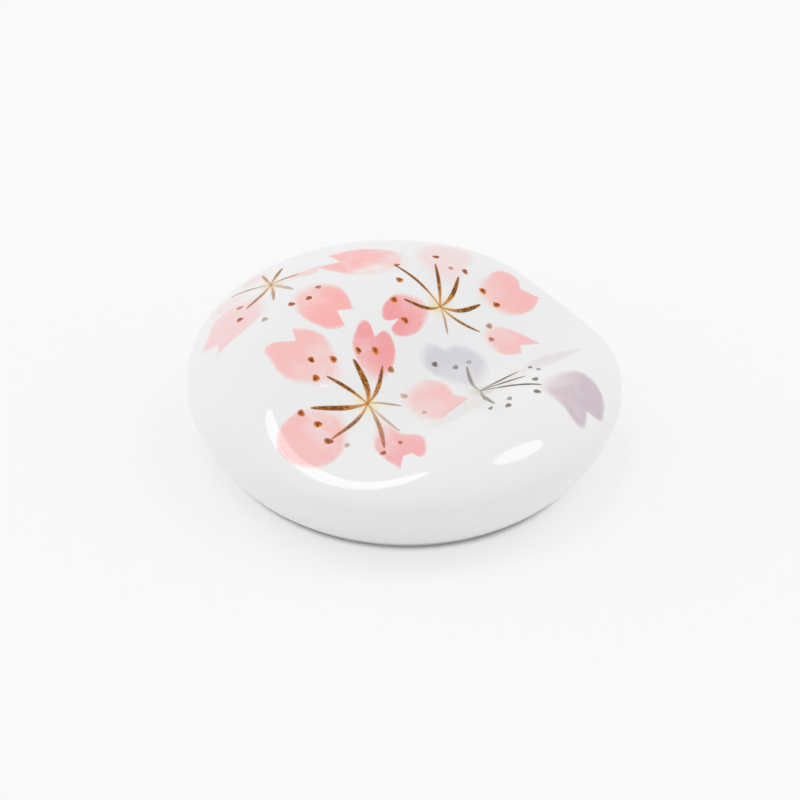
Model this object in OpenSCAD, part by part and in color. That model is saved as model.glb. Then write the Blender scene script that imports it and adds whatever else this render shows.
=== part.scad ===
// Round porcelain chopstick rest: a glazed pebble with a dip pressed across its top and
// cherry blossoms in thin fired enamel. Millimetres, +Z up, foot on z = 0, X along the chopsticks.

/* [Body] */
// Length of the pebble at its belly, along the chopsticks
body_length = 46; // [40:0.5:52]
// Width of the pebble at its belly, across the chopsticks
body_width = 45.5; // [40:0.5:52]
// Height of the belly, the widest line of the pebble
belly_height = 7.3; // [6:0.1:8.5]
// Height of the dome above the table, as if there were no dip
dome_height = 14.8; // [13.5:0.1:17]
// How much the dome leans up towards +Y
lean_across = 1.2; // [0:0.1:2]
// How much the dome leans up towards -X
lean_along = 0.3; // [0:0.1:1]
// Roundness of the dome seen from above its shoulder
crown_power = 2.3; // [2:0.05:2.8]
// Roundness of the shoulder
shoulder_power = 2.55; // [2:0.05:3]
// Roundness of the undercut side
side_power = 1.42; // [1.2:0.02:2]

/* [Foot] */
// How far the foot's outer edge stands in from the belly
foot_inset = 4.9; // [4:0.1:7]
// Width of the bare foot ring
foot_ring_width = 3.2; // [2:0.1:5]
// Height of the hollow inside the foot ring
foot_hollow = 1.1; // [0.8:0.1:2]
// Slope of the foot ring's inner wall, measured along the table
foot_wall_run = 0.6; // [0.3:0.1:1.5]

/* [Dip] */
// Depth of the dip where the chopsticks lie
dip_depth = 5.5; // [4:0.1:6]
// Half width of the dip
dip_half_width = 8.2; // [7:0.1:9]
// How far the dip's line lies from the middle, towards -Y
dip_offset = 5.3; // [3:0.1:6]
// Steepness of the dip's walls
dip_power = 2.4; // [2:0.1:3]
// How fast the dip dies out at the belly
dip_fade = 1.24; // [1:0.02:2]
// Share of the dip's depth that is gone at its -X end
shallow_end_share = 0.63; // [0.3:0.01:0.8]
// How much lower the belly is where the dip runs out over it, which rounds its lip
lip_drop = 0.5; // [0:0.1:0.8]

/* [Glaze] */
// Thickness of the clear glaze outside
glaze_thickness = 0.25; // [0.15:0.05:0.4]
// Height of the glaze's lower edge above the table
glaze_edge_height = 0.7; // [0.5:0.1:1.5]
// Thickness of the glaze inside the foot ring
base_glaze_thickness = 0.2; // [0.1:0.05:0.4]

/* [Enamel] */
// Reach of a full petal from its blossom's centre, as a share of the pebble's half size
petal_reach_share = 0.478; // [0.4:0.002:0.49]
// Width of a full petal, as a share of the pebble's half size
petal_width_share = 0.262; // [0.2:0.002:0.27]
// Reach of a full filament, as a share of the pebble's half size
filament_reach_share = 0.26; // [0.22:0.002:0.28]
// Width of a filament at its thickest, as a share of the pebble's half size
filament_width_share = 0.018; // [0.014:0.001:0.022]
// Distance of a full anther from its blossom's centre, as a share of the pebble's half size
anther_reach_share = 0.304; // [0.29:0.002:0.33]
// Diameter of an anther's dot, as a share of the pebble's half size
anther_width_share = 0.037; // [0.026:0.001:0.039]
// Radius of the pale wash at a blossom's centre, as a share of the pebble's half size
eye_radius_share = 0.033; // [0.022:0.001:0.035]
// Thickness of the petals' enamel
petal_film = 0.06; // [0.04:0.01:0.1]
// Thickness of the drawn lines and dots
line_film = 0.05; // [0.03:0.01:0.1]

/* [Hidden] */
half_length = body_length / 2;
half_width = body_width / 2;
// Foot edges, as shares of the pebble's oval: of the skin, of the ring and of its hollow
foot_share = (half_length - foot_inset) / half_length;
ring_share = (half_length - foot_inset - glaze_thickness) / half_length;
ring_inner_share = ring_share - foot_ring_width / half_length;
hollow_share = ring_inner_share - foot_wall_run / half_length;
// Clearances between layers, because each layer's facets are flat and the skin is not
film_seat = 0.07;
line_gap = 0.04;
line_seat = film_seat + petal_film + line_gap;
// step of the finite differences that give the surface's slope
slope_step = 0.02;
turn_step = 0.5;
climb_step = 0.002;
body_sides = 64;
side_rings = 6;
top_rings = 20;
petal_sides = 20;
petal_rings = 4;
eye_sides = 12;
anther_sides = 6;
filament_rings = 5;

BLOSSOMS = ["front", "upper", "left", "lilac"];
PETALS = [1, 2, 3, 4, 5];

// Centre of each blossom, as shares of the half length and the half width
blossom_place_shares = [[-0.365, -0.105], [0.33, 0.08], [-0.18, 0.69], [0.08, -0.375]];
// Direction of each petal from its blossom's centre, in degrees from +X
petal_turns = [
    [106, 40, -31, -116, 182], [172, 106, 41, -8, -60],
    [191, -86, -14, 55, 128], [71, -14, -66, -112, 208]];
// Reach of each petal, as a share of a full petal's
petal_reach_shares = [
    [1.02, 0.9, 0.92, 1.04, 1.14], [0.69, 1.26, 1.05, 1.22, 0.96],
    [1.04, 1.02, 0.54, 0.54, 0.6], [0.74, 1.19, 1.23, 0.8, 0.95]];
// Width of each petal, as a share of a full petal's
petal_width_shares = [
    [1.2, 0.88, 1.02, 0.93, 1.2], [0.72, 1.24, 1, 0.88, 0.8],
    [0.8, 1.12, 0.5, 0.7, 0.7], [0.95, 0.75, 1.17, 0.66, 0.57]];
// Depth of each petal's notch, as a share of its half length
petal_notch_shares = [
    [0.28, 0.3, 0.08, 0.3, 0.22], [0.3, 0.22, 0.2, 0.3, 0.24],
    [0.12, 0.26, 0.14, 0.2, 0.2], [0.16, 0.16, 0.26, 0.2, 0.16]];
// Where a petal starts, as a share of its own reach
petal_start_share = 0.26;
// Half angle of the notch, and how much fuller the petal is towards its tip
notch_turn = 24;
petal_full_share = 0.18;
petal_tints = [
    ["#f3a6a9", "#ef9a9e", "#f5b3b5", "#f0a3a7", "#f4a9ab"],
    ["#ee9499", "#f3abae", "#f8cdcd", "#f4afb0", "#f3a9ac"],
    ["#f5c3c3", "#f2a5a9", "#eccdd3", "#f3d3d3", "#f3d5d5"],
    ["#c9c3d3", "#dcd8e2", "#c9bccd", "#e6e0e8", "#e4dde6"]];

// Direction and length of each filament; lengths are shares of a full filament's
filament_turns = [
    [114, 59, 26, -38, -95, -126, 191, 159], [45, 87, 143, 19, -16, -58, -121],
    [50, 25, -20, -75, -132, 190, 130], [57, -7, -27, -62, -128]];
filament_reach_shares = [
    [0.77, 0.82, 0.87, 0.63, 0.78, 1.15, 1.1, 1.07], [1.02, 0.93, 0.68, 0.95, 0.87, 0.72, 0.45],
    [0.45, 0.72, 0.5, 0.45, 0.5, 0.73, 0.6], [0.75, 0.9, 0.83, 1.03, 0.72]];
// Where a filament starts and how far it bows sideways, as shares of its own reach
filament_start_share = 0.2;
filament_bow_share = 0.06;
filament_tints = ["#8a4a12", "#7d4210", "#a8875a", "#6f6258"];

// Direction and distance of each anther; distances are shares of a full anther's
anther_turns = [
    [107, 88, 123, 53, 36, 17, 160, 173, 190, 205, 234, 249, -17, -50],
    [44, 86, 108, 147, 173, 30, 18, -3, -16, -41, -62],
    [179, 195, 219, 252, 275, 299], [90, 71, 52, -10, -22, -49, -77, -102, -113, -129]];
anther_reach_shares = [
    [0.94, 0.74, 0.78, 0.82, 0.92, 0.8, 1.1, 0.97, 1.12, 1, 1.15, 0.99, 0.62, 0.82],
    [1.1, 0.98, 0.7, 0.73, 0.74, 0.93, 1.01, 0.97, 1.05, 0.81, 0.82],
    [0.66, 0.9, 0.91, 0.68, 0.77, 0.78], [0.87, 0.72, 0.86, 1.04, 1.02, 0.86, 0.96, 0.72, 0.92, 0.83]];
anther_tints = ["#a8481c", "#9c421c", "#8f6a52", "#57504c"];
eye_tints = ["#efe6b8", "#ece2b4", "#e6e0b8", "#ddd8cc"];

// Share of the dome's rise above the belly that is reached at a radius share
function dome_share(r) = pow(max(0, 1 - pow(min(r, 1), crown_power)), 1 / shoulder_power);

// Share of the dip's depth at a place on the top, before it dies out at the belly
function dip_share(x, y) =
    let (end = max(0, -x / half_length))
    exp(-pow(abs(y + dip_offset) / dip_half_width, dip_power)) * (1 - shallow_end_share * end * end);

// Height of the glazed top above a place on the table
function top_height(x, y) =
    let (
        dome = dome_share(norm([x / half_length, y / half_width])),
        lean = lean_across * y / half_width - lean_along * x / half_length,
        fade = 1 - pow(1 - dome, dip_fade))
    belly_height + (dome_height - belly_height + lean) * dome
        - dip_share(x, y) * (dip_depth * fade + lip_drop * (1 - dome));

// Point of the glazed skin: climb 0 is the foot's edge, 1 the belly and 2 the middle of the top
function skin_point(turn, climb) =
    climb < 1
        ? let (
            out = foot_share + (1 - foot_share) * pow(sin(90 * climb), 2 / side_power),
            up = 1 - pow(cos(90 * climb), 2 / side_power),
            x = half_length * cos(turn),
            y = half_width * sin(turn))
          [x * out, y * out, (belly_height - lip_drop * dip_share(x, y)) * up]
        : let (
            out = pow(max(0, cos(90 * (climb - 1))), 2 / crown_power),
            x = half_length * out * cos(turn),
            y = half_width * out * sin(turn))
          [x, y, top_height(x, y)];

function unit(v) = v / norm(v);

// Outward direction of the skin, square to its steps along a ring and up the side
function skin_normal(turn, climb) =
    unit(cross(
        skin_point(turn + turn_step, climb) - skin_point(turn - turn_step, climb),
        skin_point(turn, climb + climb_step) - skin_point(turn, max(0, climb - climb_step))));

// Outward direction of the top, from its slopes
function top_normal(x, y) =
    let (step = slope_step * dip_half_width)
    unit([
        (top_height(x - step, y) - top_height(x + step, y)) / (2 * step),
        (top_height(x, y - step) - top_height(x, y + step)) / (2 * step), 1]);

// Point a given height above the top's skin, or below it where the height is negative.
// Places on the top are shares of the half length and the half width.
function on_top(place, height) =
    let (x = half_length * place.x, y = half_width * place.y)
    [x, y, top_height(x, y)] + height * top_normal(x, y);

// One ring of the skin, moved out along its normals
function skin_ring(climb, height) = [
    for (i = [0:body_sides - 1])
        let (turn = 360 * i / body_sides)
        skin_point(turn, climb) + height * skin_normal(turn, climb)];

// Ring of the pebble's oval, scaled by a share, at a height
function oval_ring(share, z) = [
    for (i = [0:body_sides - 1])
        let (turn = 360 * i / body_sides)
        [half_length * share * cos(turn), half_width * share * sin(turn), z]];

// Climb at which the undercut side has risen to the glaze's lower edge
glaze_edge_climb = acos(pow(1 - glaze_edge_height / belly_height, side_power / 2)) / 90;
side_climbs = [
    for (i = [0:side_rings - 1]) glaze_edge_climb + (1 - glaze_edge_climb) * i / side_rings];
top_climbs = [for (i = [0:top_rings - 1]) 1 + i / top_rings];
glazed_climbs = concat(side_climbs, top_climbs);

// Triangles that join rings of points, closed by a first and a last point at the list's end.
// The first rings, those of a layer's underside, are cut along the other diagonal, so that
// layers which lie on each other share their facets.
function ring_faces(rings, sides, under_rings) = concat(
    [for (r = [0:rings - 2], i = [0:sides - 1])
        let (a = r * sides, b = a + sides, j = (i + 1) % sides)
        each r < under_rings
            ? [[a + i, b + i, a + j], [b + i, b + j, a + j]]
            : [[a + i, b + i, b + j], [a + i, b + j, a + j]]],
    [for (i = [0:sides - 1]) [rings * sides, i, (i + 1) % sides]],
    [for (i = [0:sides - 1])
        let (a = (rings - 1) * sides)
        [rings * sides + 1, a + (i + 1) % sides, a + i]]);

function reversed(list) = [for (i = [len(list) - 1:-1:0]) list[i]];

// Closed solid through rings of points, from a first point to a last one
module ring_solid(rings, first, last, under_rings = 0) {
    polyhedron(
        points = concat([for (ring = rings) each ring], [first, last]),
        faces = ring_faces(len(rings), len(rings[0]), under_rings), convexity = 4);
}

// Thin film on the top: rings of places growing from a middle place, between two heights
module film(places, middle, low, high) {
    ring_solid(
        concat(
            [for (ring = places) [for (p = ring) on_top(p, low)]],
            [for (ring = reversed(places)) [for (p = ring) on_top(p, high)]]),
        on_top(middle, low), on_top(middle, high), len(places));
}

// Place at a distance along a direction and to its left
function along(start, turn, ahead, left) =
    start + ahead * [cos(turn), sin(turn)] + left * [-sin(turn), cos(turn)];

// The fired clay: a solid pebble inside the glaze, standing on a bare foot ring
module porcelain_body() {
    color("#f4f2ee") ring_solid(
        concat(
            [oval_ring(hollow_share, foot_hollow)],
            [oval_ring(ring_inner_share, 0)],
            [oval_ring(ring_share, 0)],
            [for (climb = glazed_climbs) skin_ring(climb, -glaze_thickness)]),
        [0, 0, foot_hollow], on_top([0, 0], -glaze_thickness));
}

// Clear glaze over the sides and the top, down to just above the foot
module outer_glaze() {
    color("#f7f8f8") ring_solid(
        concat(
            [for (climb = reversed(glazed_climbs)) skin_ring(climb, -glaze_thickness)],
            [for (climb = glazed_climbs) skin_ring(climb, 0)]),
        on_top([0, 0], -glaze_thickness), on_top([0, 0], 0), len(glazed_climbs));
}

// Glaze on the ceiling of the hollow inside the foot ring
module base_glaze() {
    lower_height = foot_hollow - base_glaze_thickness;
    lower_share = hollow_share
        + (ring_inner_share - hollow_share) * base_glaze_thickness / foot_hollow;
    color("#f7f8f8") ring_solid(
        [oval_ring(lower_share, lower_height), oval_ring(hollow_share, foot_hollow)],
        [0, 0, lower_height], [0, 0, foot_hollow]);
}

// One petal: an oval, fuller towards its tip, with the cherry's notch in the tip
module petal(b, p) {
    reach = petal_reach_share * petal_reach_shares[b][p];
    start = reach * petal_start_share;
    half_long = (reach - start) / 2;
    half_wide = petal_width_share * petal_width_shares[b][p] / 2;
    centre = blossom_place_shares[b];
    turn = petal_turns[b][p];
    places = [
        for (r = [1:petal_rings]) [
            for (i = [0:petal_sides - 1])
                let (
                    round = 360 * i / petal_sides,
                    off = round > 180 ? round - 360 : round,
                    notch = petal_notch_shares[b][p] * exp(-pow(off / notch_turn, 2)),
                    size = r / petal_rings)
                along(
                    centre, turn,
                    start + half_long * (1 + size * cos(round) * (1 - notch * size)),
                    half_wide * size * sin(round) * (1 + petal_full_share * cos(round)))]];
    color(petal_tints[b][p])
        film(places, along(centre, turn, start + half_long, 0), film_seat, film_seat + petal_film);
}

// The pale wash of colour at a blossom's centre
module eye(b) {
    centre = blossom_place_shares[b];
    places = [[for (i = [0:eye_sides - 1]) along(centre, 360 * i / eye_sides, eye_radius_share, 0)]];
    color(eye_tints[b]) film(places, centre, film_seat, film_seat + petal_film);
}

// One brush stroke: pointed at both ends, thickest in the middle and slightly bowed
module filament(centre, turn, reach) {
    start = reach * filament_start_share;
    run = reach - start;
    bow = reach * filament_bow_share;
    rings = [
        for (i = [1:filament_rings])
            let (
                share = i / (filament_rings + 1),
                ahead = start + run * share,
                left = bow * sin(180 * share),
                half = filament_width_share / 2 * sin(180 * share))
            [
                on_top(along(centre, turn, ahead, left + half), line_seat + line_film),
                on_top(along(centre, turn, ahead, left - half), line_seat + line_film),
                on_top(along(centre, turn, ahead, left - half), line_seat),
                on_top(along(centre, turn, ahead, left + half), line_seat)]];
    ring_solid(
        rings, on_top(along(centre, turn, start, 0), line_seat + line_film / 2),
        on_top(along(centre, turn, reach, 0), line_seat + line_film / 2));
}

// All the filaments of one blossom, which don't touch each other
module filaments(b) {
    color(filament_tints[b]) for (i = [0:len(filament_turns[b]) - 1])
        filament(
            blossom_place_shares[b], filament_turns[b][i],
            filament_reach_share * filament_reach_shares[b][i]);
}

// All the anthers of one blossom: separate dots
module anthers(b) {
    color(anther_tints[b]) for (i = [0:len(anther_turns[b]) - 1]) {
        middle = along(
            blossom_place_shares[b], anther_turns[b][i],
            anther_reach_share * anther_reach_shares[b][i], 0);
        places = [[
            for (k = [0:anther_sides - 1])
                along(middle, 360 * k / anther_sides, anther_width_share / 2, 0)]];
        film(places, middle, line_seat, line_seat + line_film);
    }
}

porcelain_body();
outer_glaze();
base_glaze();
for (b = [0:len(BLOSSOMS) - 1]) {
    for (p = [0:len(PETALS) - 1])
        petal(b, p);
    eye(b);
    filaments(b);
    anthers(b);
}
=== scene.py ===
import math

import bpy
import numpy as np
from mathutils import Matrix, Vector


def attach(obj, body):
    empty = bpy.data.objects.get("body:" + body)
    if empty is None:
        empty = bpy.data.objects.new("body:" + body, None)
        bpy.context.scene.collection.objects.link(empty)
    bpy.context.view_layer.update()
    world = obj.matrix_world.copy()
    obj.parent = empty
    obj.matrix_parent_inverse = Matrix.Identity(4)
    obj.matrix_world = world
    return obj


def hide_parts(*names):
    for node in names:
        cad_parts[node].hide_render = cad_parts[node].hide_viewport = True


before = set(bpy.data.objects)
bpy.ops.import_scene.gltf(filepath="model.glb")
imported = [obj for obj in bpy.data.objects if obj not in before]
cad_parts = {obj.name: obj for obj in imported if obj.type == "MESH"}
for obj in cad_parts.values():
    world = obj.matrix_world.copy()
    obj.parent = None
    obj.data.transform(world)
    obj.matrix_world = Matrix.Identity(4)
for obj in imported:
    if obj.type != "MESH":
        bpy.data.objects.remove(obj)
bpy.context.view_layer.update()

# Camera: the photograph's view, low over the narrow hump and across the dip, from 260 mm away.
# The picture is 800 pixels square, and the lens and the shift are given in its pixels.
view_turn, view_rise, view_roll = math.radians(-49.8), math.radians(36.2), math.radians(1.97)
view_distance, view_target = 0.26, Vector((0.0, 0.0, 0.005))
image_size, focal_pixels = 800.0, 2461.0
shift_pixels_x, shift_pixels_y = -4.2, -2.5
towards = Vector((-math.sin(view_turn) * math.cos(view_rise),
                  math.cos(view_turn) * math.cos(view_rise), -math.sin(view_rise)))
level_right = Vector((math.cos(view_turn), math.sin(view_turn), 0.0))
level_up = level_right.cross(towards)
right = level_right * math.cos(view_roll) + level_up * math.sin(view_roll)
up = level_up * math.cos(view_roll) - level_right * math.sin(view_roll)
camera_data = bpy.data.cameras.new("photo_camera")
camera_data.sensor_width = 36.0
camera_data.lens = focal_pixels * camera_data.sensor_width / image_size
camera_data.shift_x = shift_pixels_x / image_size
camera_data.shift_y = shift_pixels_y / image_size
camera_data.clip_start = 0.01
camera = bpy.data.objects.new("photo_camera", camera_data)
turned = Matrix((right, up, -towards)).transposed().to_4x4()
turned.translation = view_target - towards * view_distance
camera.matrix_world = turned
bpy.context.scene.collection.objects.link(camera)
bpy.context.scene.camera = camera
bpy.context.scene.view_settings.view_transform = "Standard"

# Porcelain body: a solid pebble of white fired clay, pressed in a mould, with a shallow dip
# across its top. It stands on a ground foot ring that is left bare, so the clay shows there,
# fine and matt, slightly warm and a little grey from wear.
mm = 0.001
half_length, half_width = 0.023, 0.02275
belly_height, dome_height = 0.0073, 0.0148
lean_across, lean_along = 0.0012, -0.0003
foot_inset, ring_width, hollow_wall, hollow_depth = 0.0049, 0.0032, 0.0006, 0.0011
glaze_thickness = 0.00025
dip_depth, dip_half_width, dip_offset = 0.00483, 0.0078, 0.0056
dip_end_loss, lip_drop = 0.77, 0.0005
# powers of the curves: the dip's section and how it dies out, the side below the belly, and
# the dome across and upwards
dip_section, dip_dying = 2.28, 1.145
foot_low = 1.42
top_across, top_up = 2.3, 2.445
foot_share = (half_length - foot_inset) / half_length


def dip_share(x, y):
    """Share of the dip's depth: exp(-|(y + offset) / half width| ^ section), times
    1 - end loss (x / half length) ^ 2 on the -X side."""
    end = np.maximum(0.0, -x / half_length)
    section = np.exp(-np.abs((y + dip_offset) / dip_half_width) ** dip_section)
    return section * (1 - dip_end_loss * end * end)


def top_height(x, y):
    """Height of the top: the belly, plus a dome (1 - r ^ across) ^ (1 / up) that leans, less
    the dip, which dies out to the belly as 1 - (1 - dome) ^ dying and leaves the lip's drop."""
    radius = np.minimum(np.hypot(x / half_length, y / half_width), 1.0)
    dome = np.maximum(1 - radius ** top_across, 0.0) ** (1 / top_up)
    lean = lean_across * y / half_width + lean_along * x / half_length
    fade = 1 - (1 - dome) ** dip_dying
    return (belly_height + (dome_height - belly_height + lean) * dome
            - dip_share(x, y) * (dip_depth * fade + lip_drop * (1 - dome)))


def skin(turn, climb):
    """Points of the glazed skin: turn goes round in radians, climb from 0 at the foot's edge
    through 1 at the belly to 2 at the middle of the top. Below and above the belly it is a
    quarter of a superellipse, whose sine and cosine are raised to 2 / power."""
    low = np.clip(climb, 0, 1) * math.pi / 2
    high = np.clip(climb - 1, 0, 1) * math.pi / 2
    out = foot_share + (1 - foot_share) * np.sin(low) ** (2 / foot_low)
    rise = 1 - np.maximum(np.cos(low), 0) ** (2 / foot_low)
    rim_x, rim_y = half_length * np.cos(turn), half_width * np.sin(turn)
    shrink = np.maximum(np.cos(high), 0) ** (2 / top_across)
    x, y = rim_x * out * shrink, rim_y * out * shrink
    low_z = (belly_height - lip_drop * dip_share(rim_x, rim_y)) * rise
    return np.stack([x, y, np.where(climb < 1, low_z, top_height(x, y))], -1)


def outward(points):
    """Outward normals of a grid of rings: its central differences round and across, crossed."""
    around = np.roll(points, -1, 1) - np.roll(points, 1, 1)
    across = np.gradient(points, axis=0)
    normals = np.cross(around, across)
    return normals / np.maximum(np.linalg.norm(normals, axis=-1, keepdims=True), 1e-12)


def ringed_mesh(name, tubes):
    """One mesh of closed skins. Each tube is its rings of points, a first and a last point that
    close its ends, and layers: for each name, the numbers of its rings, first and last point."""
    points, faces, layers, base = [], [], {}, 0
    for rings, first, last, values in tubes:
        rows, sides = rings.shape[:2]
        index = base + np.arange(rows * sides).reshape(rows, sides)
        after = np.roll(index, -1, 1)
        quads = np.stack([index[:-1], after[:-1], after[1:], index[1:]], -1).reshape(-1, 4)
        ends = base + rows * sides + np.zeros(sides, int)
        start = np.stack([ends, after[0], index[0]], -1)
        stop = np.stack([ends + 1, index[-1], after[-1]], -1)
        faces += quads.tolist() + start.tolist() + stop.tolist()
        points += [rings.reshape(-1, 3), [first], [last]]
        for label, (at_rings, at_first, at_last) in values.items():
            numbers = np.append(np.broadcast_to(at_rings, (rows, sides)).ravel(), [at_first, at_last])
            layers.setdefault(label, []).append(numbers)
        base += rows * sides + 2
    mesh = bpy.data.meshes.new(name)
    mesh.from_pydata(np.concatenate(points).tolist(), [], faces)
    for label, parts in layers.items():
        layer = mesh.attributes.new(label, "FLOAT", "POINT")
        layer.data.foreach_set("value", np.concatenate(parts).astype(np.float32))
    mesh.update()
    mesh.shade_smooth()
    piece = bpy.data.objects.new(name, mesh)
    bpy.context.scene.collection.objects.link(piece)
    return piece


def turns(sides):
    """Even turns round the upright axis in radians: one for each side, from 0."""
    return np.arange(sides) * 2 * math.pi / sides


def oval_rings(shares, heights, sides):
    """Level rings: shares of the belly's oval at their heights."""
    around = turns(sides)
    return np.stack([np.outer(shares, half_length * np.cos(around)),
                     np.outer(shares, half_width * np.sin(around)),
                     np.outer(heights, np.ones(sides))], -1)


def node_adder(tree):
    """A function that adds a node to a tree with its settings and its inputs, each of them a
    value or another node's output."""
    def add(kind, inputs=None, **settings):
        node = tree.nodes.new(kind)
        for key, value in settings.items():
            setattr(node, key, value)
        for key, value in (inputs or {}).items():
            if hasattr(value, "links"):
                tree.links.new(value, node.inputs[key])
            else:
                node.inputs[key].default_value = value
        return node
    return add


def new_material(name):
    """An empty material, and the function that adds nodes to it."""
    material = bpy.data.materials.new(name)
    material.use_nodes = True
    material.node_tree.nodes.clear()
    return material, node_adder(material.node_tree)


def mixed_color(add, share, first, second, kind="MIX"):
    """Colour from the first to the second as share goes from 0 to 1."""
    node = add("ShaderNodeMix", {0: share, 6: first, 7: second}, data_type="RGBA", blend_type=kind)
    return node.outputs[2]


def ramp(add, value, low, high, start, stop, kind="LINEAR"):
    """Number from start to stop as a value goes from low to high."""
    node = add("ShaderNodeMapRange", {0: value, 1: low, 2: high, 3: start, 4: stop},
               interpolation_type=kind)
    return node.outputs[0]


def scaled(add, value, factor, extra=0.0):
    """Number: a value times a factor, plus something extra."""
    return add("ShaderNodeMath", {0: value, 1: factor, 2: extra}, operation="MULTIPLY_ADD").outputs[0]


def noise(add, scale, detail, distortion=0.0):
    """Cloudy number about 0.5 over the piece's own metres; the scale is in clouds a metre."""
    place = add("ShaderNodeTexCoord").outputs["Object"]
    return add("ShaderNodeTexNoise", {"Vector": place, "Scale": scale, "Detail": detail,
                                      "Distortion": distortion}).outputs[0]


body_sides, clay_start = 192, 0.13
ring_outer = foot_share - glaze_thickness / half_length
ring_inner = ring_outer - ring_width / half_length
hollow = ring_inner - hollow_wall / half_length
# profile of the foot: shares of the oval and heights in mm, from the hollow's middle outwards
foot_profile = np.array([
    (0.25, 1.1), (0.5, 1.1), (hollow - 0.02, 1.1), (hollow - 0.006, 1.09), (hollow, 1.04),
    (hollow + 0.008, 0.85), (ring_inner - 0.008, 0.22), (ring_inner - 0.003, 0.07),
    (ring_inner + 0.003, 0.015), (ring_inner + 0.01, 0.0), (ring_inner + 0.04, 0.0),
    (ring_inner + 0.08, 0.0), (ring_outer - 0.012, 0.0), (ring_outer - 0.004, 0.015),
    (ring_outer + 0.0005, 0.06), (ring_outer + 0.004, 0.14)])
foot_rows = oval_rings(foot_profile[:, 0], foot_profile[:, 1] * mm, body_sides)
body_climbs = np.concatenate([np.linspace(clay_start, 1, 26, endpoint=False),
                              np.linspace(1, 2, 70, endpoint=False)])
body_skin = skin(turns(body_sides)[None, :], body_climbs[:, None])
body_skin = body_skin - glaze_thickness * outward(body_skin)
summit = float(top_height(np.array(0.0), np.array(0.0)))
body = ringed_mesh("body_biscuit", [(np.concatenate([foot_rows, body_skin]),
                                     (0.0, 0.0, hollow_depth),
                                     (0.0, 0.0, summit - glaze_thickness), {})])
pale_clay, worn_clay = (0.80, 0.775, 0.73, 1), (0.70, 0.665, 0.61, 1)
biscuit, add = new_material("biscuit")
grain = noise(add, 9000.0, 3.0)
clay = mixed_color(add, noise(add, 260.0, 4.0), pale_clay, worn_clay)
pits = ramp(add, grain, 0.3, 0.42, 0.72, 1.0)
tooth = add("ShaderNodeBump", {"Strength": 0.5, "Distance": 0.00002, "Height": grain})
shader = add("ShaderNodeBsdfPrincipled", {
    "Base Color": mixed_color(add, 1.0, clay, pits, "MULTIPLY"), "Roughness": 0.72, "IOR": 1.45,
    "Normal": tooth.outputs[0]})
add("ShaderNodeOutputMaterial", {"Surface": shader.outputs[0]})
body.data.materials.append(biscuit)
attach(body, "root")
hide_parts("porcelain_body")

# Outer glaze: one coat of clear glaze over white clay, glossy and slightly uneven, with a few
# tiny specks. It ends in a rounded bead just above the foot, where it was wiped away.
glaze_sides, glaze_start = 336, 0.2
outer_climbs = np.concatenate([
    np.linspace(glaze_start, 1, 44, endpoint=False), np.linspace(1, 1.12, 26, endpoint=False),
    np.linspace(1.12, 2, 130, endpoint=False)])
inner_climbs = np.concatenate([np.linspace(glaze_start, 1, 14, endpoint=False),
                               np.linspace(1, 2, 34, endpoint=False)])
outer_skin = skin(turns(glaze_sides)[None, :], outer_climbs[:, None])
inner_skin = skin(turns(glaze_sides)[None, :], inner_climbs[:, None])
inner_skin = inner_skin - glaze_thickness * outward(inner_skin)
# the bead: half a round from the clay to the outer skin, hanging below both by a share of the
# glaze's thickness
bead_sag = 0.62
round_share = np.linspace(0, math.pi, 8)[1:-1, None, None]
bead_middle = (inner_skin[0] + outer_skin[0]) / 2
bead_reach = (outer_skin[0] - inner_skin[0]) / 2
bead_down = np.array([0.0, 0.0, -1.0]) * glaze_thickness * bead_sag
bead = bead_middle - bead_reach * np.cos(round_share) + bead_down * np.sin(round_share)
glaze = ringed_mesh("clear_outer_glaze", [(np.concatenate([inner_skin[::-1], bead, outer_skin]),
                                           (0.0, 0.0, summit - glaze_thickness),
                                           (0.0, 0.0, summit), {})])


def new_group(name, inputs, outputs):
    """An empty node group with named inputs and outputs, the function that adds nodes to it,
    and its inputs by name."""
    group = bpy.data.node_groups.new(name, "ShaderNodeTree")
    for label, kind in inputs.items():
        group.interface.new_socket(label, in_out="INPUT", socket_type="NodeSocket" + kind)
    for label, kind in outputs.items():
        group.interface.new_socket(label, in_out="OUTPUT", socket_type="NodeSocket" + kind)
    add = node_adder(group)
    return group, add, add("NodeGroupInput").outputs


# the white under the glaze: cloudy by a hair, with rare tan specks, and gently rippled
dull_white, clear_white = (0.845, 0.855, 0.851, 1), (0.872, 0.878, 0.872, 1)
speck_tan = (0.45, 0.42, 0.40, 1)
white, add, _ = new_group("porcelain_white", {},
                          {"Colour": "Color", "Roughness": "Float", "Normal": "Vector"})
cloud = noise(add, 75.0, 2.0)
place = add("ShaderNodeTexCoord").outputs["Object"]
cells = add("ShaderNodeTexVoronoi", {"Vector": place, "Scale": 300.0})
speck_core = ramp(add, cells.outputs["Distance"], 0.02, 0.045, 0.62, 1.0)
cell_lot = add("ShaderNodeSeparateColor", {0: cells.outputs["Color"]}).outputs[0]
speckless = add("ShaderNodeMath", {0: cell_lot, 1: 0.9}, operation="LESS_THAN").outputs[0]
clean = add("ShaderNodeMath", {0: speck_core, 1: speckless}, operation="MAXIMUM").outputs[0]
cloudy_white = mixed_color(add, cloud, dull_white, clear_white)
ripple = add("ShaderNodeBump", {"Strength": 0.25, "Distance": 0.00003, "Height": noise(add, 230.0, 1.0)})
add("NodeGroupOutput", {"Colour": mixed_color(add, clean, speck_tan, cloudy_white),
                        "Roughness": ramp(add, cloud, 0.3, 0.7, 0.03, 0.055),
                        "Normal": ripple.outputs[0]})


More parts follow.
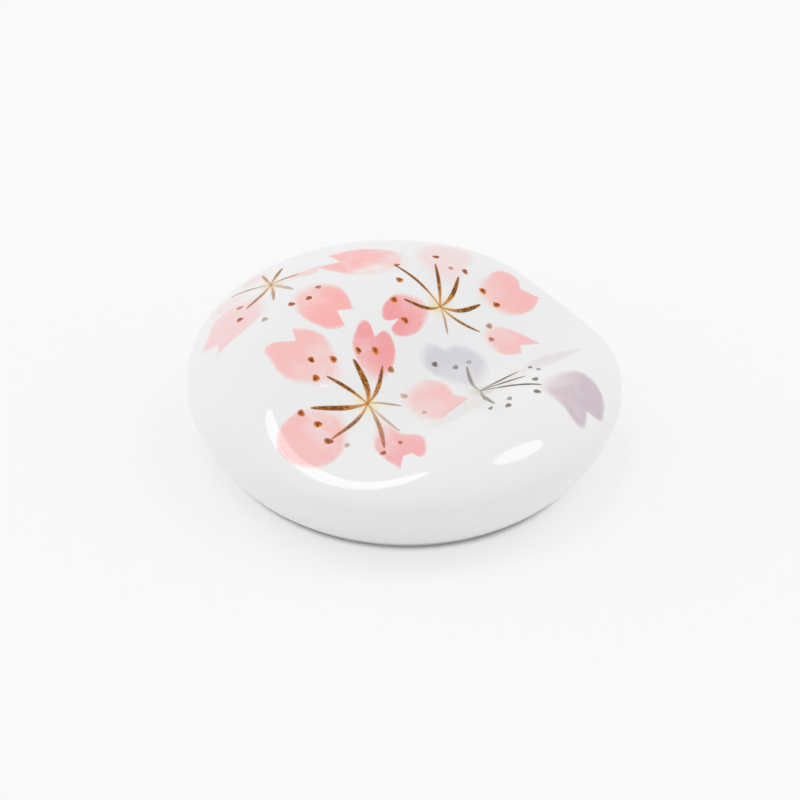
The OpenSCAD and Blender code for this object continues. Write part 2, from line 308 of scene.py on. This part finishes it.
def glazed_material(name, color_of=None, cover_of=None, gloss=0.5):
    """Glossy glaze over porcelain white. color_of gives the colour from the add function and
    the white, cover_of says how much of it covers what lies below, and gloss is the shader's
    specular level, 0.5 for the full mirror of a glaze."""
    material, add = new_material(name)
    under = add("ShaderNodeGroup", node_tree=white)
    color = color_of(add, under.outputs["Colour"]) if color_of else under.outputs["Colour"]
    inputs = {"Base Color": color, "Roughness": under.outputs["Roughness"],
              "Normal": under.outputs["Normal"], "IOR": 1.5, "Specular IOR Level": gloss}
    if cover_of:
        inputs["Alpha"] = cover_of(color)
    add("ShaderNodeOutputMaterial", {"Surface": add("ShaderNodeBsdfPrincipled", inputs).outputs[0]})
    return material


clear_glaze = glazed_material("clear_glaze_on_white")
glaze.data.materials.append(clear_glaze)
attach(glaze, "root")
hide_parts("outer_glaze")

# Base glaze: a thin pool of the same glaze on the ceiling of the hollow under the foot, which
# climbs a little up the ring's inner wall.
# profile of the pool, outwards along its lower face and back along the ceiling: shares of the
# oval, and heights in mm
pool_bottom = 0.0009
pool_shares = np.concatenate([
    np.linspace(0.04, hollow - 0.03, 18), hollow + np.array([-0.016, -0.006, 0.002, 0.006]),
    [hollow + 0.006, hollow - 0.004, hollow * 0.6, 0.04]])
pool_heights = np.concatenate([np.full(18, 0.9), [0.885, 0.84, 0.76, 0.7], [0.98, 1.095, 1.1, 1.1]])
pool = ringed_mesh("clear_base_glaze", [(oval_rings(pool_shares, pool_heights * mm, body_sides),
                                         (0.0, 0.0, pool_bottom), (0.0, 0.0, hollow_depth), {})])
pool.data.materials.append(clear_glaze)
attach(pool, "root")
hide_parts("base_glaze")

# Petals: translucent enamel laid on the glaze in washes and fired into it, so that it has
# hardly any thickness. Most have the cherry's notch in the tip. The colour is deepest at the
# tip, thins out and warms towards the blossom's centre and shows a fine printed mesh in places.
blossoms = ("front", "upper", "left", "lilac")
centres = {"front": (-9.2, -2.9), "upper": (7.1, 1.5), "left": (-3.8, 15.8), "lilac": (1.0, -9.4)}
rose, salmon, blush = (0.95, 0.245, 0.265, 1), (1.0, 0.330, 0.318, 1), (0.95, 0.450, 0.470, 1)
mauve, slate, apricot = (0.54, 0.37, 0.46, 1), (0.46, 0.42, 0.56, 1), (1.0, 0.60, 0.36, 1)
# a petal's outline in mm from the middle of the rest: a third number marks a sharp corner.
# Then come the pigment's strength at the tip and at the base, its tint, and how much of the
# printed mesh shows
petals = {
    "front": (
        (((-9.5, -.2), (-8.1, 1.3), (-7.4, 3.1), (-6.9, 4.9), (-7.5, 6.8), (-8.7, 8.3, 1),
          (-9.8, 6.6, 1), (-12.7, 8.5), (-14.0, 6.4), (-14.6, 3.8), (-13.7, 1.9), (-11.8, .3)),
         .66, .26, salmon, .25),
        (((-7.1, -1.8), (-7.2, 0.0), (-6.1, 2.2), (-4.3, 3.6), (-1.8, 4.2), (-2.4, 2.2, 1),
          (-.7, 2.1), (-1.0, .5), (-2.4, -.8), (-4.7, -1.7)), .84, .42, rose, .15),
        (((-5.8, -4.0), (-3.4, -3.3), (-.9, -3.7), (.2, -5.4), (-.7, -7.6, 1), (-.2, -9.5, 1),
          (-3.0, -10.5), (-5.4, -10.5), (-6.8, -9.2), (-7.1, -6.5)), .56, .26, salmon, .1),
        (((-9.6, -4.9), (-12.2, -6.2), (-14.1, -8.1), (-15.0, -10.6), (-15.2, -12.7, 1),
          (-13.5, -11.6, 1), (-12.6, -12.0, 1), (-12.5, -13.3), (-10.5, -12.2), (-9.2, -10.2),
          (-9.9, -8.3), (-9.6, -6.6)), .72, .30, rose, .15),
        (((-12.8, -4.0), (-15.3, -6.0), (-17.9, -6.9), (-19.8, -6.4), (-21.0, -4.8), (-21.4, -2.7),
          (-20.8, -.9), (-19.4, .1), (-17.3, .4), (-15.1, .2), (-13.0, -.7), (-11.9, -2.2)),
         .74, .16, salmon, 1.0)),
    "upper": (
        (((6.6, 2.0), (5.7, 3.7), (3.9, 4.9), (2.0, 4.8), (.5, 4.1), (-.2, 3.1), (1.4, 2.4, 1),
          (-.6, 1.5), (.6, .5), (2.4, .3), (4.7, .8)), .84, .50, rose, .1),
        (((10.0, 7.4), (10.5, 10.8), (9.0, 13.2), (7.0, 14.8), (4.4, 15.6, 1), (3.9, 13.2, 1),
          (1.1, 14.4, 1), (1.7, 11.6), (2.6, 9.5), (4.8, 7.7), (7.3, 6.8)), .72, .08, salmon, .1),
        (((8.5, 2.8), (9.0, 6.5), (12.4, 9.9), (16.7, 9.7), (18.3, 7.5), (17.7, 5.1), (15.0, 3.9),
          (11.0, 2.2)), .38, .24, blush, 0.0),
        (((12.0, .5), (13.3, 1.8), (16.0, 2.5), (19.0, 2.7), (20.1, 1.5), (19.1, -.2, 1),
          (20.6, -2.0, 1), (17.7, -3.1), (15.2, -3.0), (13.3, -2.1), (12.4, -.6)),
         .70, .42, salmon, .1),
        (((9.4, -2.2), (11.9, -2.5), (13.2, -4.5), (13.5, -7.8, 1), (11.4, -6.4, 1), (10.1, -7.7, 1),
          (8.4, -6.4), (8.2, -4.3)), .64, .36, salmon, .1)),
    "left": (
        (((-5.2, 15.0), (-8.5, 12.2), (-11.8, 11.9), (-15.9, 12.0, 1), (-14.6, 13.1, 1),
          (-15.8, 14.7, 1), (-13.6, 15.9), (-10.3, 17.5), (-6.9, 17.0)), .54, .40, blush, .05),
        (((-4.6, 12.4), (-2.6, 12.7), (-.8, 12.0), (.2, 9.9), (-.4, 7.7), (-1.7, 5.5, 1),
          (-3.4, 6.5, 1), (-4.5, 4.2, 1), (-6.3, 5.0), (-7.0, 6.9), (-6.7, 9.6), (-5.8, 11.3)),
         .80, .44, salmon, .1),
        (((-2.4, 15.3), (-.3, 15.0), (2.4, 14.2, 1), (.9, 13.3), (-1.5, 14.3)), .56, .30, blush, 0.0),
        (((-2.9, 17.0), (-1.0, 19.4), (-3.0, 20.0), (-5.4, 19.0), (-4.9, 17.6)),
         .36, .16, blush, 0.0),
        (((-5.3, 16.9), (-8.2, 19.4), (-10.7, 18.1), (-9.3, 17.0)), .28, .14, blush, 0.0)),
    "lilac": (
        (((1.1, -9.0), (.5, -6.9), (-.2, -4.5), (-.4, -2.5), (.6, -1.0), (2.6, -.6), (3.8, -2.0, 1),
          (5.4, -2.1), (6.7, -3.3), (7.0, -5.1), (5.6, -7.2), (3.0, -8.8)), .46, .26, slate, 0.0),
        (((4.5, -9.7), (7.1, -9.1), (10.3, -9.4), (13.1, -10.6), (15.5, -12.7, 1), (12.6, -12.7),
          (9.6, -12.8), (6.3, -11.9)), .32, .16, mauve, 0.0),
        (((4.2, -13.8), (6.6, -13.5), (8.7, -14.2), (9.8, -15.6), (9.8, -17.3), (9.3, -18.8),
          (8.5, -19.9), (7.4, -20.8), (6.0, -21.4), (5.3, -20.6), (5.1, -20.1, 1), (4.1, -20.8),
          (2.8, -21.3), (2.5, -20.8), (2.6, -19.8), (3.0, -18.5), (3.0, -16.9), (3.1, -15.2)),
         .70, .36, mauve, 0.0),
        (((-.7, -11.1), (0.0, -13.2), (-1.7, -15.5), (-3.6, -15.1), (-3.5, -13.0), (-2.3, -11.3)),
         .07, .04, mauve, 0.0),
        (((-.5, -9.7), (-3.1, -9.2), (-6.5, -10.2), (-6.7, -11.5), (-3.8, -11.7), (-1.5, -10.8)),
         .06, .04, mauve, 0.0))}
pale_petals = (("upper", 3), ("left", 3), ("left", 4), ("left", 5))


def on_top(x, y, height):
    """Points over the top at places in mm, a height in mm over it, measured square to it:
    the slopes are central differences."""
    x, y, step = np.asarray(x) * mm, np.asarray(y) * mm, 2e-5
    slope_x = (top_height(x + step, y) - top_height(x - step, y)) / (2 * step)
    slope_y = (top_height(x, y + step) - top_height(x, y - step)) / (2 * step)
    lift = np.asarray(height) * mm / np.sqrt(1 + slope_x ** 2 + slope_y ** 2)
    return np.stack([x - slope_x * lift, y - slope_y * lift, top_height(x, y) + lift], -1)


def enamel_film(x, y, middle_place, layers, swell=0.012, sink=0.006):
    """Closed lens of enamel: its places are rings that grow from a middle place. Its top
    stands over the glaze by swell in the middle and dips under it at the rim by sink, as
    swell (1 - s ^ 6) - sink s ^ 6 of the ring's share s, and its underside lies 4 sink deep.
    layers give the numbers of the rings and of the middle."""
    share = np.arange(1, len(x) + 1)[:, None] / len(x) + 0 * x
    top = on_top(x, y, swell * (1 - share ** 6) - sink * share ** 6)
    below = on_top(x, y, -4 * sink + 0 * share)
    both = {label: (np.concatenate([rings, rings[::-1]]), middle, middle)
            for label, (rings, middle) in layers.items()}
    return (np.concatenate([below, top[::-1]]), on_top(*middle_place, -4 * sink),
            on_top(*middle_place, swell), both)


def petal_rings(points, rows=24, samples=9):
    """Rings of a petal, its middle, and the rings' shares. The outline is a cubic between each
    two points, its tangents along the chord of a point's neighbours; a corner has its own on
    either side. The rings are the outline shrunk to its middle."""
    corner = np.array([len(point) > 2 for point in points])[:, None]
    place = np.array([point[:2] for point in points], float)
    chord = np.roll(place, -1, 0) - place
    length = np.linalg.norm(chord, axis=1, keepdims=True)
    ahead = chord / length
    smooth = ahead + np.roll(ahead, 1, 0)
    smooth = smooth / np.linalg.norm(smooth, axis=1, keepdims=True)
    leave = np.where(corner, ahead, smooth) * length
    arrive = np.roll(np.where(corner, np.roll(ahead, 1, 0), smooth), -1, 0) * length
    s = (np.arange(samples) / samples)[None, :, None]
    curve = ((2 * s ** 3 - 3 * s ** 2 + 1) * place[:, None] + (s ** 3 - 2 * s ** 2 + s) * leave[:, None]
             + (3 * s ** 2 - 2 * s ** 3) * np.roll(place, -1, 0)[:, None]
             + (s ** 3 - s ** 2) * arrive[:, None]).reshape(-1, 2)
    x, y = curve[:, 0], curve[:, 1]
    if np.sum(x * np.roll(y, -1) - y * np.roll(x, -1)) < 0:
        curve = curve[::-1]
    middle_place = curve.mean(0)
    share = (np.arange(1, rows + 1) / rows)[:, None, None]
    rings = middle_place + share * (curve - middle_place)
    return rings[..., 0], rings[..., 1], middle_place, share[..., 0] + 0 * rings[..., 0]


# a wash of pigment over white: its strength runs from Base to Tip along the petal, breaks up
# in paper-like clouds and in a printed mesh, and falls off softly and raggedly at the rim, from
# further in where the petal is weak and towards its base
wash, add, given = new_group(
    "petal_wash", {"White": "Color", "Tint": "Color", "Tip": "Float", "Base": "Float", "Mesh": "Float"},
    {"Colour": "Color"})
tipward = add("ShaderNodeAttribute", attribute_name="tipward").outputs["Fac"]
rim = add("ShaderNodeAttribute", attribute_name="rim").outputs["Fac"]
spread = scaled(add, noise(add, 380.0, 3.0, 0.6), 1.5, tipward)
strength = ramp(add, spread, 0.55, 1.55, given["Base"], given["Tip"], "SMOOTHSTEP")
ragged = scaled(add, noise(add, 1700.0, 2.0), 0.12, rim)
firm = ramp(add, given["Tip"], 0.2, 0.6, 0.5, 1.0)
fade_start = scaled(add, ramp(add, tipward, 0.0, 0.5, 0.5, 0.87), firm)
within = ramp(add, ragged, fade_start, 1.08, 1.0, 0.0, "SMOOTHSTEP")
place = add("ShaderNodeTexCoord").outputs["Object"]
threads = [add("ShaderNodeTexWave", {"Vector": place, "Scale": 1200.0}, bands_direction=axis).outputs[1]
           for axis in ("X", "Y")]
mesh_place = ramp(add, tipward, 0.35, 0.75, 0.0, given["Mesh"])
gaps = scaled(add, scaled(add, threads[0], threads[1]), mesh_place)
printed = ramp(add, gaps, 0.0, 1.0, 1.0, 0.2)
amount = scaled(add, scaled(add, strength, within), printed)
warm = mixed_color(add, ramp(add, tipward, 0.0, 0.6, 0.22, 0.0), given["Tint"], apricot)
add("NodeGroupOutput", {"Colour": mixed_color(add, amount, given["White"], warm)})

for blossom in blossoms:
    heart = np.array(centres[blossom])
    for number, (points, tip, base, tint, mesh_share) in enumerate(petals[blossom], 1):
        x, y, middle_place, rim = petal_rings(points)
        axis = (middle_place - heart) / np.linalg.norm(middle_place - heart)
        run = (x - heart[0]) * axis[0] + (y - heart[1]) * axis[1]
        tipward = (run - run.min()) / (run.max() - run.min())
        middle_run = ((middle_place - heart) @ axis - run.min()) / (run.max() - run.min())
        film = enamel_film(x, y, middle_place, {"tipward": (tipward, middle_run), "rim": (rim, 0.0)})
        petal = ringed_mesh(f"{blossom}_petal_{number}_enamel", [film])
        petal.data.materials.append(glazed_material(
            f"{blossom}_petal_{number}_wash",
            lambda add, bare: add("ShaderNodeGroup", {
                "White": bare, "Tint": tint, "Tip": tip, "Base": base, "Mesh": mesh_share},
                node_tree=wash).outputs["Colour"]))
        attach(petal, "root")
        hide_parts(f"{blossom}_petal_{number}")
        if blossom == "lilac":
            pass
        elif (blossom, number) in pale_petals:
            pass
        else:
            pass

# Eyes: the pale yellow-green wash at the centre of each blossom, under its filaments, which
# thins out to nothing at its rim.
eye_tints = {"front": (0.86, 0.74, 0.34, 1), "upper": (0.84, 0.68, 0.28, 1),
             "left": (0.80, 0.66, 0.38, 1), "lilac": (0.66, 0.58, 0.48, 1)}
eye_radius, eye_rings, eye_sides = 2.1, 14, 48
eye_wash, add, given = new_group("eye_wash", {"White": "Color", "Tint": "Color"}, {"Colour": "Color"})
rim = add("ShaderNodeAttribute", attribute_name="rim").outputs["Fac"]
faded = ramp(add, scaled(add, noise(add, 900.0, 2.0), 0.25, rim), 0.1, 1.05, 0.72, 0.0, "SMOOTHSTEP")
add("NodeGroupOutput", {"Colour": mixed_color(add, faded, given["White"], given["Tint"])})
for blossom in blossoms:
    size = (np.arange(1, eye_rings + 1) / eye_rings)[:, None]
    around = turns(eye_sides)[None, :]
    x = centres[blossom][0] + eye_radius * size * np.cos(around)
    y = centres[blossom][1] + eye_radius * size * np.sin(around)
    film = enamel_film(x, y, centres[blossom], {"rim": (size + 0 * around, 0.0)})
    eye = ringed_mesh(f"{blossom}_eye_enamel", [film])
    eye.data.materials.append(glazed_material(
        f"{blossom}_eye_wash",
        lambda add, bare: add("ShaderNodeGroup", {"White": bare, "Tint": eye_tints[blossom]},
                              node_tree=eye_wash).outputs["Colour"]))
    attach(eye, "root")
    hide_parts(f"{blossom}_eye")

# Filaments: brush strokes in brown and gold enamel that meet at the blossom's centre, swell on
# their way out and end in a point. They lie over the petals, and their edges are feathered.
# a stroke's tip in mm from the middle of the rest, its bow and its widest width in mm, and the
# strength of its enamel
filaments = {
    "front": ((-10.7, 1.4, -.30, .50, 1.0), (-6.6, 1.4, -.55, .76, 1.0), (-4.2, -.5, -.35, .46, .85),
              (-6.3, -5.1, .25, .32, .45), (-9.9, -8.0, .15, .40, .34), (-13.3, -8.9, .45, .58, .60),
              (-16.1, -4.3, .45, .46, .75), (-14.9, -.3, .35, .66, 1.0)),
    "upper": ((12.4, 3.4, -.45, .46, 1.0), (11.6, 6.1, -.15, .44, 1.0), (7.5, 8.3, -.10, .40, .9),
              (3.9, 3.9, .60, .50, 1.0), (12.0, -.1, -.60, .48, 1.0), (9.2, -2.5, -.30, .36, .8),
              (5.4, -1.1, .15, .30, .45)),
    "left": ((-2.2, 18.6, .05, .44, .50), (0.0, 17.7, .05, .44, .60), (-.5, 14.7, .15, .36, .50),
             (-3.4, 12.9, 0.0, .60, .35), (-6.1, 13.2, .10, .40, .45), (-8.6, 14.8, .20, .46, .60),
             (-6.8, 18.9, -.10, .40, .45)),
    "lilac": ((3.9, -5.1, .30, .46, .50), (6.2, -10.1, .10, .34, .85), (5.5, -11.7, .15, .38, .85),
              (4.4, -14.6, .30, .42, .95), (-1.3, -13.1, -.25, .50, .50))}
brown, gold = (0.215, 0.062, 0.003, 1), (0.74, 0.30, 0.045, 1)
umber, stone = (0.13, 0.10, 0.085, 1), (0.40, 0.33, 0.27, 1)


def stroke(heart, tip_x, tip_y, bow, widest, power, rows=28, sides=12):
    """One stroke from the blossom's heart to a tip: its middle line bows by a half sine of
    s ^ 0.8, and its half width is half the widest times sin(pi s ^ 1.2) ^ 0.45, or times
    (1 - s) / 2 near the heart where that is more, plus 0.02 mm. Its section is a flat oval
    0.03 mm thick, whose middle is 0.012 mm over the glaze."""
    share = np.linspace(0.0, 1.0, rows)[:, None]
    along = np.array([tip_x - heart[0], tip_y - heart[1]])
    reach = np.linalg.norm(along)
    along = along / reach
    around = -turns(sides)[None, :]
    swelling = np.sin(math.pi * share ** 1.2) ** 0.45
    half = widest / 2 * np.maximum(swelling, 0.5 * (1 - share)) + 0.02
    side = bow * np.sin(math.pi * share ** 0.8) + half * np.cos(around)
    x = heart[0] + reach * share * along[0] - side * along[1]
    y = heart[1] + reach * share * along[1] + side * along[0]
    points = on_top(x, y, 0.012 + 0.015 * np.sin(around) + 0 * x)
    layers = {"side": (np.cos(around), 0.0, 0.0), "run": (share, 0.0, 1.0),
              "strength": (power, power, power)}
    return points, points[0].mean(0), points[-1].mean(0), layers


# granular brush enamel: Light at the centre and at the edges and Deep further out, broken up by
# grains; Cover is thin at its feathered sides, towards the centre and where it is weak
brush, add, given = new_group("brush_enamel", {"Deep": "Color", "Light": "Color"},
                              {"Colour": "Color", "Cover": "Float"})
side, run, strength = [add("ShaderNodeAttribute", attribute_name=label).outputs["Fac"]
                       for label in ("side", "run", "strength")]
from_middle = add("ShaderNodeMath", {0: side}, operation="ABSOLUTE").outputs[0]
grit = noise(add, 2900.0, 3.0)
outer = ramp(add, run, 0.12, 0.50, -0.15, 1.0)
depth = scaled(add, from_middle, -0.35, scaled(add, outer, strength))
grainy = add("ShaderNodeMath", {0: scaled(add, grit, 3.4, -1.7), 1: depth}, operation="ADD",
             use_clamp=True)
ragged = scaled(add, grit, 0.4, from_middle)
feather = ramp(add, ragged, 0.72, 1.2, 1.0, 0.0)
thinned = scaled(add, ramp(add, run, 0.04, 0.45, 0.62, 1.0), strength)
cover = add("ShaderNodeMath", {0: feather, 1: thinned}, operation="MULTIPLY", use_clamp=True)
add("NodeGroupOutput", {"Colour": mixed_color(add, grainy.outputs[0], given["Light"], given["Deep"]),
                        "Cover": cover.outputs[0]})


def enamel_over(name, group, deep, light):
    """Glossy enamel over the petals, from a group that gives its Colour and its Cover."""
    return glazed_material(
        name,
        lambda add, bare: add("ShaderNodeGroup", {"Deep": deep, "Light": light},
                              node_tree=group).outputs["Colour"],
        lambda color: color.node.outputs["Cover"], gloss=0.12)


for blossom in blossoms:
    lines = [stroke(centres[blossom], *line) for line in filaments[blossom]]
    strokes = ringed_mesh(f"{blossom}_filament_strokes", lines)
    tones = (umber, stone) if blossom == "lilac" else (brown, gold)
    strokes.data.materials.append(enamel_over(f"{blossom}_brush_enamel", brush, *tones))
    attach(strokes, "root")
    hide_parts(f"{blossom}_filaments")

# Anthers: small dabs of orange-brown enamel round each blossom, slightly domed, each with a
# darker core and a soft rim. The far ones of the faded blossoms are weak and grey.
# a dab's place in mm from the middle of the rest, its half length and half width in mm, its
# slant in degrees, and the strength of its enamel
anthers = {
    "front": ((-10.6, 3.6, .44, .40, 20, .9), (-8.6, 2.4, .44, .40, 0, 1.0),
              (-11.8, 1.8, .46, .40, 30, 1.0), (-5.4, 1.8, .42, .34, 60, .95),
              (-3.7, 1.0, .52, .38, 60, 1.0), (-3.7, -1.2, .42, .36, 0, .6),
              (-16.1, -.2, .46, .38, 20, .8), (-15.7, -2.1, .50, .46, 0, 1.0),
              (-16.5, -4.3, .54, .50, 0, .75), (-15.5, -5.9, .36, .28, 20, .35),
              (-14.0, -9.4, .42, .34, 40, .7), (-11.6, -9.5, .44, .28, 60, .5),
              (-5.0, -4.2, .44, .38, 0, .3), (-5.5, -7.4, .40, .34, 0, .25)),
    "upper": ((12.8, 7.0, .46, .40, 0, .85), (7.7, 8.2, .46, .30, 0, .6), (5.8, 6.1, .44, .38, 0, .9),
              (2.9, 4.3, .46, .40, 20, 1.0), (2.0, 2.0, .46, .42, 0, 1.0),
              (12.6, 4.7, .36, .28, 0, .45), (13.8, 3.7, .44, .34, 30, .8),
              (13.7, 1.0, .46, .38, 0, .9), (13.9, -.8, .48, .38, 0, .95),
              (10.8, -2.4, .42, .36, 0, .5), (9.5, -3.8, .42, .36, 0, .45)),
    "left": ((-8.6, 15.7, .44, .36, 0, .45), (-10.3, 14.0, .44, .38, 0, .7),
             (-9.2, 11.5, .40, .34, 0, .35), (-5.7, 11.0, .42, .36, 0, .7),
             (-3.8, 10.3, .44, .38, 0, .8), (-1.6, 11.0, .42, .34, 0, .5)),
    "lilac": ((1.2, -3.0, .44, .34, 30, .7), (2.8, -4.5, .44, .34, 20, .45),
              (4.6, -4.8, .40, .34, 0, .25), (7.6, -10.6, .46, .28, 60, .6),
              (7.4, -11.8, .42, .26, 60, .45), (5.1, -13.2, .46, .34, 60, .75),
              (3.0, -15.1, .42, .36, 60, .7), (.3, -13.7, .42, .30, 30, .45),
              (-.9, -14.5, .44, .34, 30, .65), (-2.2, -13.3, .40, .28, 30, .5))}
# a dab's soft rim hardly shows, so its mesh is larger than the size given by this factor
dab_spread = 1.14
rust, amber = (0.185, 0.028, 0.001, 1), (0.84, 0.26, 0.05, 1)


def dab(x, y, half_long, half_wide, slant, power, rows=7, sides=20):
    """One dab: rings of an ellipse whose radius waves by a tenth. Its top is a lens that is
    0.04 (1 - s ^ 2) - 0.004 mm over the glaze, and its underside lies 0.02 mm under it."""
    share = np.linspace(0.0, 1.0, rows + 1)[1:, None]
    around = turns(sides)[None, :]
    lean = math.radians(slant)
    waves = 1 + 0.09 * np.sin(3 * around + 7 * x) + 0.07 * np.sin(2 * around + 5 * y)
    a = half_long * dab_spread * share * waves * np.cos(around)
    b = half_wide * dab_spread * share * waves * np.sin(around)
    place_x = x + a * math.cos(lean) - b * math.sin(lean)
    place_y = y + a * math.sin(lean) + b * math.cos(lean)
    top = on_top(place_x, place_y, 0.04 * (1 - share ** 2) - 0.004 + 0 * a)
    below = on_top(place_x, place_y, -0.02 + 0 * a)
    rim = np.concatenate([share + 0 * around, share[::-1] + 0 * around])
    return (np.concatenate([below, top[::-1]]), on_top(x, y, -0.02), on_top(x, y, 0.036),
            {"rim": (rim, 0.0, 0.0), "strength": (power, power, power)})


# a dab: Deep in the core and Light towards the rim, grainy, and soft at the rim itself
dot, add, given = new_group("dab_enamel", {"Deep": "Color", "Light": "Color"},
                            {"Colour": "Color", "Cover": "Float"})
rim, strength = [add("ShaderNodeAttribute", attribute_name=label).outputs["Fac"]
                 for label in ("rim", "strength")]
core = ramp(add, rim, 0.15, 0.85, 0.95, 0.0)
grainy = add("ShaderNodeMath", {0: scaled(add, noise(add, 3200.0, 2.0), 2.2, -1.1), 1: core},
             operation="ADD", use_clamp=True)
soft_rim = ramp(add, rim, 0.7, 1.0, 1.0, 0.0)
cover = add("ShaderNodeMath", {0: soft_rim, 1: strength}, operation="MULTIPLY", use_clamp=True)
add("NodeGroupOutput", {"Colour": mixed_color(add, grainy.outputs[0], given["Light"], given["Deep"]),
                        "Cover": cover.outputs[0]})
for blossom in blossoms:
    dots = ringed_mesh(f"{blossom}_anther_dabs", [dab(*line) for line in anthers[blossom]])
    tones = (umber, stone) if blossom == "lilac" else (rust, amber)
    dots.data.materials.append(enamel_over(f"{blossom}_dab_enamel", dot, *tones))
    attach(dots, "root")
    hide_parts(f"{blossom}_anthers")

# Table and light: a white sweep under a white tent that is brighter at the rest's left and right
# than before and behind it, and brightest at its left. The reflections of two oval soft boxes make
# the long crescent on the near hump and the lens-shaped gleam to its right.
table_half, table_lines = 1.2, 9
steps = np.linspace(-table_half, table_half, table_lines)
floor_x, floor_y = np.meshgrid(steps, steps)
floor_points = np.stack([floor_x, floor_y, np.zeros_like(floor_x)], -1).reshape(-1, 3)
index = np.arange(table_lines ** 2).reshape(table_lines, table_lines)
squares = np.stack([index[:-1, :-1], index[:-1, 1:], index[1:, 1:], index[1:, :-1]], -1)
floor_mesh = bpy.data.meshes.new("white_table")
floor_mesh.from_pydata(floor_points.tolist(), [], squares.reshape(-1, 4).tolist())
floor = bpy.data.objects.new("white_table", floor_mesh)
bpy.context.scene.collection.objects.link(floor)


def seen_directly(add):
    """Number: 1 for what the camera sees, itself or in a gloss or through glass, else 0."""
    path = add("ShaderNodeLightPath").outputs
    either = add("ShaderNodeMath", {0: path["Is Camera Ray"], 1: path["Is Glossy Ray"]},
                 operation="MAXIMUM")
    return add("ShaderNodeMath", {0: either.outputs[0], 1: path["Is Transmission Ray"]},
               operation="MAXIMUM").outputs[0]


# a share of the paper is seen as plain white, but not close in under the rest, where its
# shadow lies
plain_white, paper_white = (0.99, 0.991, 0.99, 1), (0.92, 0.923, 0.92, 1)
plain_share, contact_radius, clear_radius = 0.57, 0.0185, 0.0195
paper, add = new_material("white_paper")
shader = add("ShaderNodeBsdfPrincipled", {"Base Color": paper_white, "Roughness": 0.9,
                                          "Specular IOR Level": 0.2})
reach = add("ShaderNodeVectorMath", {0: add("ShaderNodeTexCoord").outputs["Object"]}, operation="LENGTH")
outside = ramp(add, reach.outputs["Value"], contact_radius, clear_radius, 0.0, plain_share, "SMOOTHSTEP")
plain = add("ShaderNodeEmission", {"Color": plain_white, "Strength": 1.0})
chosen = add("ShaderNodeMixShader", {0: scaled(add, outside, seen_directly(add)), 1: shader.outputs[0],
                                     2: plain.outputs[0]})
add("ShaderNodeOutputMaterial", {"Surface": chosen.outputs[0]})
floor.data.materials.append(paper)

# the tent's strength is plain + lean s + rise s ^ 2, where s goes from -1 at the rest's left
# to 1 at its right
tent_plain, tent_rise, tent_lean = 0.83, 0.74, -0.09
side_axis = (math.cos(view_turn), math.sin(view_turn), 0.0)
world = bpy.data.worlds.new("white_tent")
bpy.context.scene.world = world
world.use_nodes = True
world.node_tree.nodes.clear()
add = node_adder(world.node_tree)
sky = add("ShaderNodeTexCoord").outputs["Generated"]
sideways = add("ShaderNodeVectorMath", {0: sky, 1: side_axis}, operation="DOT_PRODUCT").outputs["Value"]
slanted = scaled(add, sideways, tent_lean, tent_plain)
graded = scaled(add, scaled(add, sideways, sideways), tent_rise, slanted)
tent = add("ShaderNodeBackground", {"Strength": graded})
backdrop = add("ShaderNodeBackground", {"Color": plain_white})
chosen = add("ShaderNodeMixShader", {0: seen_directly(add), 1: tent.outputs[0], 2: backdrop.outputs[0]})
add("ShaderNodeOutputWorld", {"Surface": chosen.outputs[0]})

# each box: the turn of its middle and its fall from straight up, its own spin, its half height
# and half width as angles, all in degrees, and its radiance. Its power is its radiance times
# pi times its oval area
box_distance = 2.4
boxes = {"overhead_box": (127.3, 11.6, 64.9, 16.6, 6.5, 3.2),
         "side_box": (-31.3, 31.1, 71.0, 9.4, 8.3, 2.8)}
for label, (turn, fall, spin, half_high, half_wide, radiance) in boxes.items():
    turn, fall, spin = math.radians(turn), math.radians(fall), math.radians(spin)
    out = Vector((math.cos(turn) * math.sin(fall), math.sin(turn) * math.sin(fall), math.cos(fall)))
    down = Vector((math.cos(turn) * math.cos(fall), math.sin(turn) * math.cos(fall), -math.sin(fall)))
    high = down * math.cos(spin) + out.cross(down) * math.sin(spin)
    lamp_data = bpy.data.lights.new(label, "AREA")
    lamp_data.shape = "ELLIPSE"
    lamp_data.size = 2 * box_distance * math.tan(math.radians(half_wide))
    lamp_data.size_y = 2 * box_distance * math.tan(math.radians(half_high))
    oval_area = math.pi / 4 * lamp_data.size * lamp_data.size_y
    lamp_data.energy = radiance * math.pi * oval_area
    lamp = bpy.data.objects.new(label, lamp_data)
    facing = Matrix((high.cross(out), high, out)).transposed().to_4x4()
    facing.translation = out * box_distance
    lamp.matrix_world = facing
    bpy.context.scene.collection.objects.link(lamp)
